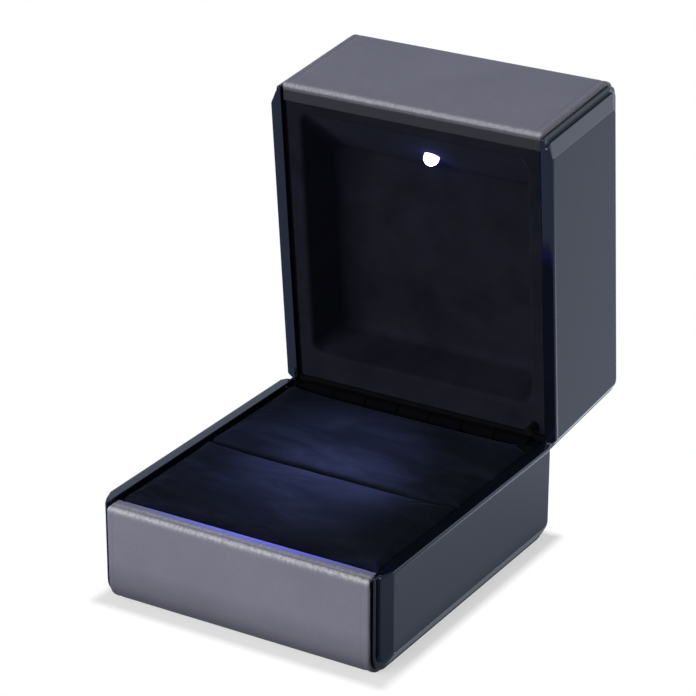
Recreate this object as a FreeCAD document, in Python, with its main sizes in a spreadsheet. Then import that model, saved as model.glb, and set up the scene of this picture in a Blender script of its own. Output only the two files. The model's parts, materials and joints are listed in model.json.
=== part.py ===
import FreeCAD, Part
import math
import os
import re

# Ring box with a lamp in its lid. Millimetres, +Z up, front towards -Y.
# The origin is the middle of the underside. Base and lid are both described shut, and the lid's
# pieces are then turned open about the hinge pin.

SIZES = {
    # Outer shape of the box
    "width": 60.0,
    "depth": 66.0,
    "base_height": 20.2,
    "lid_height": 29.3,
    "parting_gap": 0.2,
    "open_angle": 84.7,
    "base_radius": 4.4,
    "lid_radius": 3.0,
    # Glossy end panels: a thin flange and a plate with a bevelled border
    "panel_thickness": 2.4,
    "flange_thickness": 0.8,
    "flange_inset": 0.7,
    "step_inset": 1.8,
    "bevel_rise": 1.0,
    "bevel_run": 2.8,
    "panel_corner": 0.5,
    "rim_corner": 1.6,
    "peg_radius": 1.0,
    "peg_inset": 10.0,
    # Leatherette wraps
    "wrap_thickness": 0.7,
    "rim_drop": 0.5,
    "fold_radius": 0.6,
    "tuck_depth": 3.0,
    # Moulded cores
    "front_wall": 2.3,
    "back_wall": 2.6,
    "side_wall": 0.5,
    "floor_thickness": 3.0,
    "roof_thickness": 1.4,
    "rib_height": 2.8,
    "rib_thickness": 1.6,
    "rib_spacing": 30.0,
    "fit": 0.1,
    # Velvet pads and their board
    "board_thickness": 1.5,
    "pad_clearance": 0.3,
    "slit_gap": 0.6,
    "pad_drop": 1.5,
    "pad_crown": 0.8,
    "pad_rise": 0.9,
    "pad_draw": 0.3,
    "pad_shoulder": 5.0,
    # Hinge along the back edge
    "axis_drop": 1.1,
    "barrel_radius": 1.3,
    "barrel_room": 0.4,
    "pin_radius": 0.7,
    "pin_fit": 0.05,
    "pin_end_gap": 0.4,
    "pin_head_radius": 1.0,
    "pin_head_length": 0.8,
    "leaf_margin": 2.8,
    "leaf_thickness": 0.5,
    "leaf_reach": 11.0,
    "knuckle_gap": 0.25,
    "rivet_radius": 0.7,
    "rivet_head_radius": 1.4,
    "rivet_head_length": 0.5,
    "rivet_reach": 7.5,
    "rivet_spacing": 14.0,
    # Liner of the lid
    "liner_thickness": 1.2,
    "lip_depth": 1.0,
    "lip_front": 5.6,
    "lip_side": 3.4,
    "lip_back": 9.0,
    "recess_depth": 12.0,
    "recess_draft": 1.4,
    "slant_run": 11.0,
    "recess_radius": 2.0,
    "mouth_radius": 0.9,
    # Lamp on the slanted face and its board
    "lamp_run": 7.5,
    "lamp_radius": 1.5,
    "lamp_length": 5.5,
    "lamp_proud": 1.9,
    "lamp_collar_radius": 1.9,
    "lamp_collar_length": 0.8,
    "lead_radius": 0.25,
    "lead_spacing": 2.54,
    "lead_length": 2.6,
    "circuit_length": 14.0,
    "circuit_width": 8.0,
    "circuit_thickness": 1.0,
    "circuit_gap": 4.6,
    "post_radius": 1.4,
    "post_spacing": 10.0,
    "screw_radius": 0.6,
    "screw_length": 2.4,
    "screw_head_radius": 1.2,
    "screw_head_length": 0.8,
    # Button cells
    "cell_radius": 5.8,
    "cell_height": 5.4,
    "cell_spacing": 13.0,
    "cell_shift": 4.0,
    "holder_wall": 1.2,
    "holder_floor": 1.0,
    "contact_thickness": 0.2,
    "contact_radius": 3.0,
    "bridge_width": 5.0,
    # Switch at the hinge corner, pressed as the lid shuts
    "switch_inset": 2.2,
    "switch_length": 5.2,
    "switch_width": 3.2,
    "switch_height": 7.0,
    "plunger_radius": 0.8,
    "plunger_travel": 1.2,
    "plunger_length": 6.2,
    "plunger_collar_radius": 1.15,
    "plunger_collar_length": 0.6,
    "plunger_bore_depth": 5.0,
    "plunger_stop_gap": 0.2,
    "striker_length": 3.4,
    "striker_width": 3.2,
    "striker_height": 6.0,
    # Leads inside the lid
    "wire_radius": 0.5,
    "wire_bend": 2.5,
    "wire_end_gap": 0.1,
    "wire_run": 3.5,
}
KNUCKLES = 7
RIVETS = 3
OVER = "1"

# Places worked out from the sizes, by name
PLACES = {
    "front": "-depth / 2",
    "back": "depth / 2",
    "half_core": "width / 2 - panel_thickness",
    "core_front": "front + wrap_thickness",
    "core_back": "back - wrap_thickness",
    "fold_back": "core_front + front_wall + wrap_thickness",
    "half_room": "half_core - side_wall",
    "room_front": "core_front + front_wall",
    "room_back": "core_back - back_wall",
    "lid_rim": "base_height + parting_gap",
    "lid_top": "base_height + lid_height",
    "axis_line": "core_back - barrel_radius",
    "axis_height": "base_height - axis_drop",
    "barrel_space": "barrel_radius + barrel_room",
    "leaf_front": "core_back - leaf_thickness",
    "leaf_length": "2 * (half_core - leaf_margin)",
    "half_pin": "half_core - pin_end_gap",
    "board_low": "wrap_thickness + floor_thickness + rib_height",
    "pad_low": "board_low + board_thickness",
    "lip_low": "lid_rim + lip_depth",
    "lip_high": "lip_low + liner_thickness",
    "recess_high": "lid_rim + recess_depth",
    "liner_high": "recess_high + liner_thickness",
    "mouth_front": "front + lip_front",
    "mouth_back": "back - lip_back",
    "mouth_side": "half_core - lip_side",
    "slant_rise": "recess_depth - lip_depth",
    "slant_offset": "liner_thickness * sqrt(slant_run ^ 2 + slant_rise ^ 2) / slant_rise",
    "lamp_height": "lip_low + lamp_run * slant_rise / slant_run",
    "striker_front": "room_back - striker_width",
    "striker_top": "base_height - rim_drop",
    "switch_middle": "half_room - switch_inset",
    "switch_back": "room_back - fit",
    "plunger_line": "room_back - striker_width / 2",
    "plunger_tip": "striker_top + plunger_stop_gap - plunger_travel",
    "holder_half": "(cell_spacing / 2 + cell_radius + fit + holder_wall)",
    "holder_side": "(cell_radius + fit + holder_wall)",
    "cell_low": "liner_high + holder_floor + contact_thickness",
    "holder_high": "cell_low + cell_height",
}

doc = FreeCAD.newDocument("led_ring_box")
sheet = doc.addObject("Spreadsheet::Sheet", "sizes")
for row, (name, size) in enumerate(SIZES.items(), start=1):
    sheet.set(f"A{row}", name)
    sheet.set(f"B{row}", str(size))
    sheet.setAlias(f"B{row}", name)
doc.recompute()

Vector = FreeCAD.Vector
ALONG = {
    "x": FreeCAD.Rotation(Vector(0, 1, 0), 90),
    "y": FreeCAD.Rotation(Vector(1, 0, 0), -90),
    "z": FreeCAD.Rotation(),
}
NODES = []


# Formulas and values

def formula(text):
    """The text as an expression on the sheet, with every named place written out."""
    def word(match):
        found = match.group()
        if found in PLACES:
            return "(" + formula(PLACES[found]) + ")"
        return "sizes." + found if found in SIZES else found
    return re.sub(r"[a-z][a-z_]*", word, text)


def value(text):
    """The number that a formula has with the sizes as they stand."""
    return float(sheet.evalExpression(formula(text)))


def both(text):
    """A pair of places, the same distance either side of the middle."""
    return f"-({text})", text


# Solids bound to the sheet

def box(name, x, y, z):
    """A box with a low and a high place along each axis."""
    item = doc.addObject("Part::Box", name)
    for axis, side, (low, high) in (("x", "Length", x), ("y", "Width", y), ("z", "Height", z)):
        item.setExpression("Placement.Base." + axis, formula(low))
        item.setExpression(side, formula(f"({high}) - ({low})"))
    return item


def rod(name, axis, radius, start, length):
    """A round bar that runs from its start along one axis."""
    item = doc.addObject("Part::Cylinder", name)
    item.Placement = FreeCAD.Placement(Vector(), ALONG[axis])
    for letter, place in zip("xyz", start):
        item.setExpression("Placement.Base." + letter, formula(place))
    item.setExpression("Radius", formula(radius))
    item.setExpression("Height", formula(length))
    return item


def frustum(name, turn, near, far, low, high, low_far, high_far):
    """A block between two rectangles, the second one at the far end of its own Y axis."""
    item = doc.addObject("Part::Wedge", name)
    item.Placement = FreeCAD.Placement(Vector(), turn)
    sides = {
        "Ymin": near, "Ymax": far,
        "Xmin": low[0], "Zmin": low[1], "Xmax": high[0], "Zmax": high[1],
        "X2min": low_far[0], "Z2min": low_far[1], "X2max": high_far[0], "Z2max": high_far[1],
    }
    for side, place in sides.items():
        item.setExpression(side, formula(place))
    return item


def fuse(name, *pieces):
    item = doc.addObject("Part::MultiFuse", name)
    item.Shapes = list(pieces)
    item.Refine = True
    return item


def cut(name, piece, *tools):
    item = doc.addObject("Part::Cut", name)
    item.Base = piece
    item.Tool = tools[0] if len(tools) == 1 else fuse(name + "_tools", *tools)
    item.Refine = True
    return item


def common(name, first, second):
    item = doc.addObject("Part::Common", name)
    item.Base = first
    item.Tool = second
    return item


def rounded(name, piece, radius, chosen):
    """The piece with the edges that the test chooses rounded."""
    doc.recompute()
    item = doc.addObject("Part::Fillet", name)
    item.Base = piece
    size = value(radius)
    item.Edges = [(i, size, size) for i, edge in enumerate(piece.Shape.Edges, 1) if chosen(edge)]
    return item


def runs_along_x(edge, **places):
    """True for a straight edge along X that lies at the given places."""
    line = edge.BoundBox
    straight = line.YLength + line.ZLength < 1e-5
    misses = [abs(getattr(line.Center, axis) - value(text)) for axis, text in places.items()]
    return straight and max(misses) < 1e-4


LID_OPEN = FreeCAD.Placement(
    Vector(),
    FreeCAD.Rotation(Vector(1, 0, 0), -value("open_angle")),
    Vector(0, value("axis_line"), value("axis_height")),
)


def node(label, *pieces, lid=False):
    """One sub-part under its own label, turned open with the lid where it belongs to it."""
    item = doc.addObject("Part::Compound", label)
    item.Label = label
    item.Links = list(pieces)
    if lid:
        item.Placement = LID_OPEN
    NODES.append(item)


# The two halves of the box

class Half:
    """Base or lid. Distances count inwards from its outer end (floor or roof) or from its rim."""

    def __init__(self, name, end, rim, inward, radius, skin):
        self.name = name
        self.end = end
        self.rim = rim
        self.inward = inward
        self.radius = radius
        self.skin = f"wrap_thickness + {skin}"
        self.is_lid = inward == "-"

    def from_end(self, distance):
        return f"{self.end} {self.inward} ({distance})"

    def from_rim(self, distance):
        outward = "+" if self.is_lid else "-"
        return f"{self.rim} {outward} ({distance})"

    def heights(self, near_end, near_rim):
        """Low and high place of a span from near the outer end to near the rim."""
        span = (self.from_end(near_end), self.from_rim(near_rim))
        return span[::-1] if self.is_lid else span

    def strip(self, first, second):
        """Low and high place of a strip between two distances from the rim, the lesser first."""
        span = (self.from_rim(second), self.from_rim(first))
        return span[::-1] if self.is_lid else span


BASE = Half("base", "0", "base_height", "+", "base_radius", "floor_thickness")
LID = Half("lid", "lid_top", "lid_rim", "-", "lid_radius", "roof_thickness")


def rounded_block(half, name, inset, x, near_rim):
    """A block of the half's outline, drawn in all round, with its two outer-end edges rounded."""
    y = (f"front + {inset}", f"back - {inset}")
    block = box(name + "_block", x, y, half.heights(inset, near_rim))
    radius = f"max({half.radius} - {inset}; panel_corner)"
    return rounded(name, block, radius, lambda edge: runs_along_x(edge, z=half.from_end(inset)))


def back_rebate(name, start, drop):
    """What the base's back edge leaves free, from end to end, for the hinge and the open lid."""
    length = both("half_core + " + OVER)
    heights = (f"axis_height - ({drop})", "base_height + " + OVER)
    return box(name, length, (start, "back + " + OVER), heights)


def wrap(half):
    """Leatherette sheet over front, outer end and back, folded over the front rim and tucked in."""
    name = half.name + "_wrap"
    outer = rounded_block(half, name + "_outer", "0", both("half_core"), "rim_drop")
    inner = rounded_block(half, name + "_inner", "wrap_thickness", both("half_core + " + OVER), "-" + OVER)
    fold = box(
        name + "_fold",
        both("half_core"),
        ("front", "fold_back"),
        half.strip("rim_drop", "rim_drop + wrap_thickness"),
    )
    tuck = box(
        name + "_tuck",
        both("half_room - fit"),
        ("room_front", "fold_back"),
        half.strip("rim_drop", "rim_drop + tuck_depth"),
    )
    folded = fuse(name + "_folded", cut(name + "_sheet", outer, inner), fold, tuck)
    front_rim = {"y": "front", "z": half.from_rim("rim_drop")}
    soft = rounded(name + "_soft", folded, "fold_radius", lambda edge: runs_along_x(edge, **front_rim))
    if half.is_lid:
        node(name, soft, lid=True)
    else:
        drop = "back - axis_line + 2 * barrel_room"
        lid_room = back_rebate(name + "_rebate", "core_back - " + OVER, drop)
        node(name, cut(name + "_cut", soft, lid_room))


def peg_places(half):
    """Where an end panel's pegs go through the core's side wall: places along Y and Z."""
    heights = [half.from_end(half.skin + " + 3 * peg_radius"), half.from_rim("4 * peg_radius")]
    return [(y, z) for y in both("depth / 2 - peg_inset") for z in heights]


def pegs(half, name, radius, start, length):
    places = enumerate(peg_places(half), 1)
    return [rod(f"{name}_{i}", "x", radius, (start, y, z), length) for i, (y, z) in places]


def rivet_places():
    return [f"rivet_spacing * {i - (RIVETS - 1) / 2}" for i in range(RIVETS)]


def rivet_height(half):
    return f"axis_height {'+' if half.is_lid else '-'} rivet_reach"


def rivets(half, name, room):
    """Rivets through the back wall and the leaf, or their holes where room is given."""
    made = []
    for i, x in enumerate(rivet_places(), 1):
        z = rivet_height(half)
        shank = rod(f"{name}_shank_{i}", "y", f"rivet_radius + {room}", (x, "room_back", z), "back_wall")
        radius = f"rivet_head_radius + {room}"
        head = rod(f"{name}_head_{i}", "y", radius, (x, "room_back", z), f"rivet_head_length + {room}")
        made.append(fuse(f"{name}_{i}", shank, head))
    return made


def leaf_plate(half, name, room):
    """The flat of a hinge leaf in the core's back, or its pocket where room is given."""
    depth = (f"leaf_front - {room}", f"core_back + {room}")
    if half.is_lid:
        heights = (f"lid_rim + parting_gap - {room}", f"axis_height + leaf_reach + {room}")
    else:
        heights = (f"axis_height - leaf_reach - {room}", "axis_height - barrel_space")
    return box(name, both(f"leaf_length / 2 + {room}"), depth, heights)


def core(half):
    """Moulded tray or shell under the wrap, between the end panels."""
    name = half.name + "_core"
    block = rounded_block(half, name + "_solid", "wrap_thickness", both("half_core"), "rim_drop")
    room = box(
        name + "_room",
        both("half_room"),
        ("room_front", "room_back"),
        half.heights(half.skin, "-" + OVER),
    )
    rim_step = box(
        name + "_rim_step",
        both("half_core + " + OVER),
        ("front - " + OVER, "room_back"),
        half.strip("-" + OVER, "rim_drop + wrap_thickness"),
    )
    shell = cut(name + "_shell", block, room, rim_step)
    added = [shell]
    if not half.is_lid:
        for i, middle in enumerate(both("rib_spacing / 2"), 1):
            y = (f"{middle} - rib_thickness / 2", f"{middle} + rib_thickness / 2")
            z = (half.skin + " - fit", "board_low")
            added.append(box(f"{name}_rib_{i}", both("half_room + fit"), y, z))
        added.append(box(
            name + "_striker",
            ("half_room - striker_length", "half_room + fit"),
            ("striker_front", "room_back + fit"),
            ("striker_top - striker_height", "striker_top"),
        ))
    filled = shell if half.is_lid else fuse(name + "_filled", *added)
    holes = rivets(half, name + "_rivet_hole", "fit")
    holes.append(leaf_plate(half, name + "_leaf_pocket", "fit / 2"))
    for side, start in (("right", "half_room - " + OVER), ("left", "-half_core - " + OVER)):
        holes += pegs(half, f"{name}_peg_hole_{side}", "peg_radius + fit", start, f"side_wall + 2 * {OVER}")
    if not half.is_lid:
        holes.append(back_rebate(name + "_rebate", "axis_line - barrel_space", "barrel_space"))
    node(name, cut(name + "_cut", filled, *holes), lid=half.is_lid)


def panel_block(half, name, inset, x):
    """A slab of an end panel's outline, with its corners at the rim rounded as well."""
    slab = rounded_block(half, name + "_slab", inset, x, "0")
    return rounded(name, slab, "rim_corner", lambda edge: runs_along_x(edge, z=half.rim))


def end_panel(half):
    """Glossy end panels: flange, bevelled plate and pegs; the left one is a mirror image."""
    name = half.name + "_panel"
    flange_x = ("half_core", "half_core + flange_thickness")
    flange = panel_block(half, name + "_flange", "flange_inset", flange_x)
    plate_x = ("half_core + flange_thickness", "width / 2 - bevel_rise")
    plate = box(
        name + "_plate",
        plate_x,
        ("front + step_inset", "back - step_inset"),
        half.heights("step_inset", "0"),
    )
    low, high = half.heights("step_inset", "0")
    low_far, high_far = half.heights("step_inset + bevel_run", "0")
    bevel = frustum(
        name + "_bevel",
        FreeCAD.Rotation(Vector(0, 0, 1), -90),
        "width / 2 - bevel_rise",
        "width / 2",
        ("front + step_inset", low),
        ("back - step_inset", high),
        ("front + step_inset + bevel_run", low_far),
        ("back - step_inset - bevel_run", high_far),
    )
    outline = panel_block(half, name + "_outline", "step_inset", (plate_x[0], "width / 2"))
    raised = common(name + "_raised", fuse(name + "_stack", plate, bevel), outline)
    stakes = pegs(half, name + "_peg", "peg_radius", "half_room", "side_wall + flange_thickness")
    right = fuse(name + "_right_solid", flange, raised, *stakes)
    left = doc.addObject("Part::Mirroring", name + "_left_solid")
    left.Source = right
    left.Normal = Vector(1, 0, 0)
    node(name + "_right", right, lid=half.is_lid)
    node(name + "_left", left, lid=half.is_lid)


for half in (BASE, LID):
    core(half)
    wrap(half)
    end_panel(half)


# Velvet pads on their board

def pad_section(x, ends, low, edges, crown):
    """A pad's outline across the box: flat underside, leaning sides and an arched top."""
    near, far = ends
    bottom = [Vector(x, near, low), Vector(x, far, low)]
    top = [Vector(x, near, edges[0]), Vector(x, far, edges[1])]
    middle = (top[0] + top[1]) * 0.5 + Vector(0, 0, crown)
    corners = [top[0], *bottom, top[1]]
    lines = [Part.LineSegment(start, end) for start, end in zip(corners, corners[1:])]
    lines.append(Part.Arc(top[1], middle, top[0]))
    return Part.Wire(Part.__sortEdges__([line.toShape() for line in lines]))


def pad(name, ends, edges):
    """A velvet pad: lofted along X, full in the middle and drawn in at both ends."""
    half_length = value("half_room - pad_clearance")
    low = value("pad_low")
    draw = value("pad_draw")
    crown = value("pad_crown")
    near, far = (value(end) for end in ends)
    heights = [value(edge) for edge in edges]
    shoulder = half_length - value("pad_shoulder")
    sections = []
    for x in (-half_length, -shoulder, 0, shoulder, half_length):
        at_end = abs(x) == half_length
        inset = draw if at_end else 0
        sides = (near + inset / 2, far - inset / 2)
        tops = [height - inset for height in heights]
        sections.append(pad_section(x, sides, low, tops, crown - inset / 2))
    item = doc.addObject("Part::Feature", name)
    item.Shape = Part.makeLoft(sections, True, False)
    return item


outer_top = "base_height - pad_drop"
slit_top = "base_height - pad_drop + pad_rise"
front_pad = pad("front_pad", ("fold_back + pad_clearance", "-slit_gap / 2"), (outer_top, slit_top))
node("ring_pad_front", front_pad)
rear_pad = pad("rear_pad", ("slit_gap / 2", "room_back - pad_clearance"), (slit_top, outer_top))
striker_room = box(
    "striker_room",
    ("half_room - striker_length - pad_clearance", "half_room + " + OVER),
    ("striker_front - pad_clearance", "back"),
    ("0", "lid_top"),
)
node("ring_pad_rear", cut("rear_pad_notched", rear_pad, striker_room))
node("pad_board", box(
    "board",
    both("half_room - fit"),
    ("room_front + fit", "room_back - fit"),
    ("board_low", "pad_low"),
))


# Hinge

knuckle_pitch = f"(leaf_length + knuckle_gap) / {KNUCKLES}"


def knuckle(half, name, index):
    """One rolled eye of a leaf and the strap that joins it to the flat."""
    start = f"-leaf_length / 2 + {index} * {knuckle_pitch}"
    length = f"{knuckle_pitch} - knuckle_gap"
    tube = rod(name + "_tube", "x", "barrel_radius", (start, "axis_line", "axis_height"), length)
    if half.is_lid:
        heights = ("axis_height", "lid_rim + 2 * parting_gap")
    else:
        heights = ("axis_height - barrel_space", "axis_height")
    strap = box(name + "_strap", (start, f"{start} + {length}"), ("leaf_front", "core_back"), heights)
    return fuse(name, tube, strap)


def hinge_leaf(half):
    name = "hinge_leaf_" + half.name
    first = 1 if half.is_lid else 0
    eyes = [knuckle(half, f"{name}_knuckle_{i}", i) for i in range(first, KNUCKLES, 2)]
    flat = leaf_plate(half, name + "_plate", "0")
    bore = rod(
        name + "_bore",
        "x",
        "pin_radius + pin_fit",
        ("-leaf_length / 2 - " + OVER, "axis_line", "axis_height"),
        f"leaf_length + 2 * {OVER}",
    )
    holes = []
    for i, x in enumerate(rivet_places(), 1):
        start = (x, f"core_back - {OVER}", rivet_height(half))
        holes.append(rod(f"{name}_hole_{i}", "y", "rivet_radius + fit", start, f"2 * {OVER}"))
    node(name, cut(name + "_cut", fuse(name + "_whole", flat, *eyes), bore, *holes), lid=half.is_lid)
    node("hinge_rivets_" + half.name, *rivets(half, f"hinge_rivet_{half.name}", "0"), lid=half.is_lid)


for half in (BASE, LID):
    hinge_leaf(half)

pin = rod("pin_bar", "x", "pin_radius", ("-half_pin", "axis_line", "axis_height"), "2 * half_pin")
pin_heads = [
    rod(f"pin_head_{i}", "x", "pin_head_radius", (start, "axis_line", "axis_height"), "pin_head_length")
    for i, start in enumerate(("-half_pin", "half_pin - pin_head_length"), 1)
]
node("hinge_pin", fuse("pin", pin, *pin_heads))


# Liner of the lid with the slanted face for the lamp

def recess(name, offset, slant, floor):
    """The hollow of the liner, widened by an offset on its sides, slant and floor."""
    draft = "recess_draft"
    return frustum(
        name,
        FreeCAD.Rotation(Vector(1, 0, 0), 90),
        "lip_low",
        floor,
        (f"-(mouth_side + {offset})", f"-(mouth_back + {offset})"),
        (f"mouth_side + {offset}", f"-(mouth_front - {slant})"),
        (f"-(mouth_side + {offset} - {draft})", f"-(mouth_back + {offset} - {draft})"),
        (f"mouth_side + {offset} - {draft}", f"-(mouth_front + slant_run - {slant} + {slant_more(floor)})"),
    )


def slant_more(floor):
    """How far the slanted face runs on to reach a floor deeper than the hollow's own."""
    return f"(({floor}) - recess_high) * slant_run / slant_rise"


lamp_angle = math.degrees(math.atan2(value("slant_rise"), value("slant_run")))
LAMP = FreeCAD.Placement(
    Vector(0, value("mouth_front + lamp_run"), value("lamp_height")),
    FreeCAD.Rotation(Vector(1, 0, 0), lamp_angle),
)


def at_lamp(name, piece):
    """A piece described on the lamp's own axis, set on the slanted face."""
    item = doc.addObject("Part::Compound", name)
    item.Links = [piece]
    item.Placement = LAMP
    return item


def mouth_edge(edge):
    """True for the edges round the liner's mouth, inside its lip."""
    line = edge.BoundBox
    level = line.ZLength < 1e-5 and abs(line.ZMin - value("lip_low")) < 1e-4
    side = value("mouth_side + fit")
    return level and line.XMax < side and line.XMin > -side and line.YMax < value("mouth_back + fit")


outer_recess = recess("liner_outer", "liner_thickness", "slant_offset", "liner_high")
inner_recess = recess("liner_inner", "0", "0", "recess_high")
doc.recompute()
soft_recess = rounded(
    "liner_hollow",
    inner_recess,
    "recess_radius",
    lambda edge: edge.BoundBox.ZMax > value("lip_low") + 1e-3,
)
lip = box(
    "liner_lip",
    both("half_room - fit"),
    ("fold_back + fit", "room_back - fit"),
    ("lip_low", "lip_high"),
)
posts = []
post_holes = []
for i, x in enumerate(both("post_spacing / 2"), 1):
    foot = "liner_thickness - fit"
    post = rod(f"liner_post_{i}", "z", "post_radius", (x, "0", foot), f"circuit_gap - ({foot})")
    posts.append(at_lamp(f"liner_post_at_{i}", post))
    deep = "screw_length + fit"
    start = (x, "0", f"circuit_gap - ({deep})")
    hole = rod(f"post_hole_{i}", "z", "screw_radius + fit / 2", start, f"{deep} + {OVER}")
    post_holes.append(at_lamp(f"post_hole_at_{i}", hole))
through = f"liner_thickness + 2 * {OVER}"
lamp_hole = rod("lamp_hole", "z", "lamp_radius + fit", ("0", "0", "-" + OVER), through)
lamp_hole_at = at_lamp("lamp_hole_at", lamp_hole)
plunger_hole = rod(
    "plunger_hole",
    "z",
    "plunger_radius + fit",
    ("switch_middle", "plunger_line", "lip_low - " + OVER),
    through,
)
liner_body = fuse("liner_body", lip, outer_recess, *posts)
liner_open = cut("liner_open", liner_body, soft_recess, lamp_hole_at, plunger_hole, *post_holes)
node("lid_liner", rounded("liner", liner_open, "mouth_radius", mouth_edge), lid=True)


# Lamp and its board, on the lamp's own axis: zero is the slanted face, and the lamp looks along -Z

dome_middle = "lamp_radius - lamp_proud"
lamp_back = "lamp_length - lamp_proud"
collar_seat = "liner_thickness + fit"
lamp_tube = rod("lamp_tube", "z", "lamp_radius", ("0", "0", dome_middle), f"{lamp_back} - ({dome_middle})")
lamp_dome = doc.addObject("Part::Sphere", "lamp_dome")
lamp_dome.setExpression("Radius", formula("lamp_radius"))
lamp_dome.setExpression("Placement.Base.z", formula(dome_middle))
lamp_collar = rod("lamp_collar", "z", "lamp_collar_radius", ("0", "0", collar_seat), "lamp_collar_length")
leads = [
    rod(f"lamp_lead_{i}", "z", "lead_radius", (x, "0", lamp_back + " - fit"), "lead_length + fit")
    for i, x in enumerate(both("lead_spacing / 2"), 1)
]
node("led_lamp", at_lamp("lamp", fuse("lamp_solid", lamp_tube, lamp_dome, lamp_collar, *leads)), lid=True)

circuit = box(
    "circuit",
    both("circuit_length / 2"),
    both("circuit_width / 2"),
    ("circuit_gap", "circuit_gap + circuit_thickness"),
)
circuit_holes = []
for kind, spacing in (("lead", "lead_spacing"), ("screw", "post_spacing")):
    for i, x in enumerate(both(spacing + " / 2"), 1):
        start = (x, "0", "circuit_gap - " + OVER)
        length = f"circuit_thickness + 2 * {OVER}"
        circuit_holes.append(rod(f"{kind}_hole_{i}", "z", f"{kind}_radius + fit", start, length))
node("led_board", at_lamp("circuit_at", cut("circuit_cut", circuit, *circuit_holes)), lid=True)


def board_screw(index, x):
    tip = (x, "0", "circuit_gap - screw_length")
    seat = (x, "0", "circuit_gap + circuit_thickness")
    shank = rod(f"screw_shank_{index}", "z", "screw_radius", tip, "screw_length + circuit_thickness")
    head = rod(f"screw_head_{index}", "z", "screw_head_radius", seat, "screw_head_length")
    return at_lamp(f"screw_at_{index}", fuse(f"screw_{index}", shank, head))


node("board_screws", *[board_screw(i, x) for i, x in enumerate(both("post_spacing / 2"), 1)], lid=True)


# Button cells behind the liner

cell_places = both("cell_spacing / 2")
holder_block = box(
    "holder_block",
    both("holder_half"),
    ("cell_shift - holder_side", "cell_shift + holder_side"),
    ("liner_high", "holder_high"),
)
pocket_low = "liner_high + holder_floor"
pockets = [
    rod(f"pocket_{i}", "z", "cell_radius + fit", (x, "cell_shift", pocket_low), "cell_height + " + OVER)
    for i, x in enumerate(cell_places, 1)
]
node("battery_holder", cut("holder", holder_block, *pockets), lid=True)
node("button_cells", *[
    rod(f"cell_{i}", "z", "cell_radius", (x, "cell_shift", "cell_low"), "cell_height")
    for i, x in enumerate(cell_places, 1)
], lid=True)
node("battery_contacts", *[
    rod(f"contact_{i}", "z", "contact_radius", (x, "cell_shift", pocket_low), "contact_thickness")
    for i, x in enumerate(cell_places, 1)
], lid=True)
node("battery_bridge", box(
    "bridge",
    both("cell_spacing / 2 + contact_radius"),
    ("cell_shift - bridge_width / 2", "cell_shift + bridge_width / 2"),
    ("holder_high", "holder_high + contact_thickness"),
), lid=True)


# Switch at the hinge corner of the liner

switch_x = ("switch_middle + switch_inset - fit - switch_length", "switch_middle + switch_inset - fit")
switch_block = box(
    "switch_block",
    switch_x,
    ("switch_back - switch_width", "switch_back"),
    ("lip_high", "lip_high + switch_height"),
)
switch_bore = rod(
    "switch_bore",
    "z",
    "plunger_collar_radius + fit",
    ("switch_middle", "plunger_line", "lip_high - " + OVER),
    "plunger_bore_depth + " + OVER,
)
node("switch_body", cut("switch", switch_block, switch_bore), lid=True)
plunger_rod = rod(
    "plunger_rod",
    "z",
    "plunger_radius",
    ("switch_middle", "plunger_line", "plunger_tip"),
    "plunger_length",
)
plunger_collar = rod(
    "plunger_collar",
    "z",
    "plunger_collar_radius",
    ("switch_middle", "plunger_line", "lip_high + fit"),
    "plunger_collar_length",
)
node("switch_plunger", fuse("plunger", plunger_rod, plunger_collar), lid=True)


# Leads between the cells, the switch and the lamp's board

def lead_wire(name, points):
    """A round lead through the points, straight between them and bent in an arc at each."""
    bend = value("wire_bend")
    edges = []
    start = points[0]
    for corner, after in zip(points[1:-1], points[2:]):
        into = (start - corner).normalize()
        out = (after - corner).normalize()
        half_turn = (math.pi - into.getAngle(out)) / 2
        shorter = min((start - corner).Length, (after - corner).Length)
        reach = min(bend * math.tan(half_turn), 0.45 * shorter)
        first = corner + into * reach
        last = corner + out * reach
        bisector = (into + out).normalize()
        radius = reach / math.tan(half_turn)
        middle = corner + bisector * (radius / math.cos(half_turn) - radius)
        edges.append(Part.LineSegment(start, first).toShape())
        edges.append(Part.Arc(first, middle, last).toShape())
        start = last
    edges.append(Part.LineSegment(start, points[-1]).toShape())
    spine = Part.Wire(edges)
    ring = Part.Wire(Part.makeCircle(value("wire_radius"), points[0], points[1] - points[0]))
    item = doc.addObject("Part::Feature", name)
    item.Shape = spine.makePipeShell([ring], True, False)
    return item


def place(x, y, z):
    return Vector(value(x), value(y), value(z))


def board_end(x):
    """Where a lead meets the circuit board's upper edge, and a point straight out from there."""
    depth = value("circuit_gap + circuit_thickness / 2")
    edge = value("circuit_width / 2 + wire_end_gap")
    return [LAMP.multVec(Vector(value(x), edge + run, depth)) for run in (0, value("wire_run"))]


wire_level = pocket_low + " + 4 * wire_radius"
high_level = wire_level + " + 5 * wire_radius"
switch_top = "lip_high + switch_height + wire_end_gap"
inner_switch = switch_x[0] + " + 2 * wire_radius"
outer_switch = switch_x[1] + " - 2 * wire_radius"
switch_line = "switch_back - switch_width / 2"

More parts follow.
